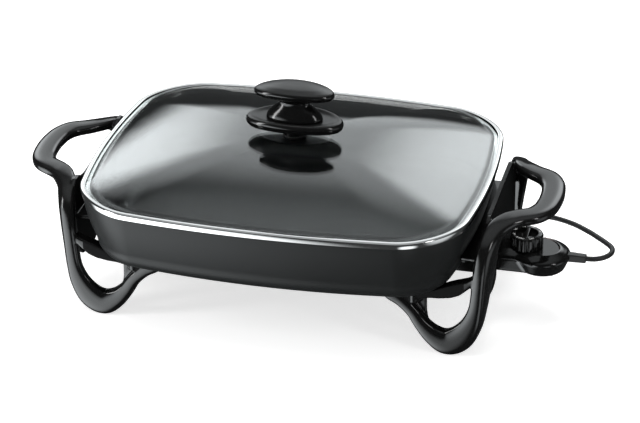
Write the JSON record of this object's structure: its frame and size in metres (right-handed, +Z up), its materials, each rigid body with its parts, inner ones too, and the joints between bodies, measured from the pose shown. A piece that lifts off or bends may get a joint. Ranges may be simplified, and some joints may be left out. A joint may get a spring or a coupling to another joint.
{
  "type": "electric skillet",
  "caption": "Rectangular electric skillet with a nonstick cast pan, looped handle-and-leg mouldings, a steel-rimmed glass cover with an oval knob, and a plug-in heat control with dial and cord.",
  "frame": {"origin": "middle of the whole object in plan, without its cord, on the surface that the feet stand on", "axes": "+X along the pan's long side towards the heat control, -Y towards the front, +Z up"},
  "size_m": [0.6329, 0.453, 0.2424],
  "materials": {
    "pan_coating": "satin nonstick coating over cast aluminium",
    "phenolic": "glossy black moulded phenolic",
    "polished_steel": "polished stainless steel rim",
    "clear_glass": "clear tempered glass",
    "screw_steel": "zinc-plated steel",
    "pin_steel": "nickel-plated steel",
    "element_sheath": "drawn metal sheath, dull grey",
    "ceramic": "unglazed ceramic",
    "brass": "bare brass",
    "silver_contact": "silver contact metal",
    "frame_steel": "plain sheet steel",
    "black_rubber": "matte silicone rubber",
    "washer_metal": "dark coated steel",
    "matte_black": "matte black moulded plastic",
    "lens_red": "dark red translucent plastic",
    "lamp_glass": "small neon lamp, clear glass",
    "cord_black": "matte flexible cord jacket",
    "cast_aluminium": "bare cast aluminium",
    "wire_brown": "fibreglass-sleeved wire"
  },
  "bodies": {
    "base": {"pan": "pan_coating", "heating_element": "element_sheath", "element_seals": "ceramic", "terminal_pins": "pin_steel", "probe_guide": "cast_aluminium", "terminal_guard": "phenolic", "guard_screws": "screw_steel", "left_handle": "phenolic", "right_handle": "phenolic", "left_handle_screws": "screw_steel", "right_handle_screws": "screw_steel"},
    "cover": {"glass_cover": "clear_glass", "cover_rim": "polished_steel", "knob_grip": "phenolic", "knob_guard_disc": "phenolic", "knob_gasket": "black_rubber", "under_glass_seal": "black_rubber", "under_glass_washer": "washer_metal", "knob_screw": "screw_steel"},
    "control": {"control_lower_housing": "phenolic", "control_upper_housing": "phenolic", "indicator_lens": "lens_red", "pilot_lamp": "lamp_glass", "socket_block": "ceramic", "terminal_sockets": "brass", "temperature_probe": "pin_steel", "thermostat_frame": "frame_steel", "contact_insulators": "ceramic", "contact_arms": "brass", "contact_points": "silver_contact", "lead_wires": "wire_brown", "shaft_bushing": "brass", "control_screws": "screw_steel", "strain_relief": "matte_black", "power_cord": "cord_black", "cord_coil": "cord_black", "cord_tie": "matte_black", "plug_body": "cord_black", "plug_blades": "brass"},
    "dial_group": {"dial": "phenolic", "dial_shaft": "screw_steel", "dial_clip": "frame_steel"}
  },
  "joints": [
    {"name": "cover_lift", "type": "slide", "parent": "base", "child": "cover", "axis": [0, 0, 1], "range_m": [0, 0.15]},
    {"name": "control_pull", "type": "slide", "parent": "base", "child": "control", "axis": [1, 0, 0], "range_m": [0, 0.1]},
    {"name": "dial_turn", "type": "hinge", "parent": "control", "child": "dial_group", "pos_m": [0.2475, 0, 0.09], "axis": [0, 0, 1], "range_deg": [0, 300]}
  ]
}
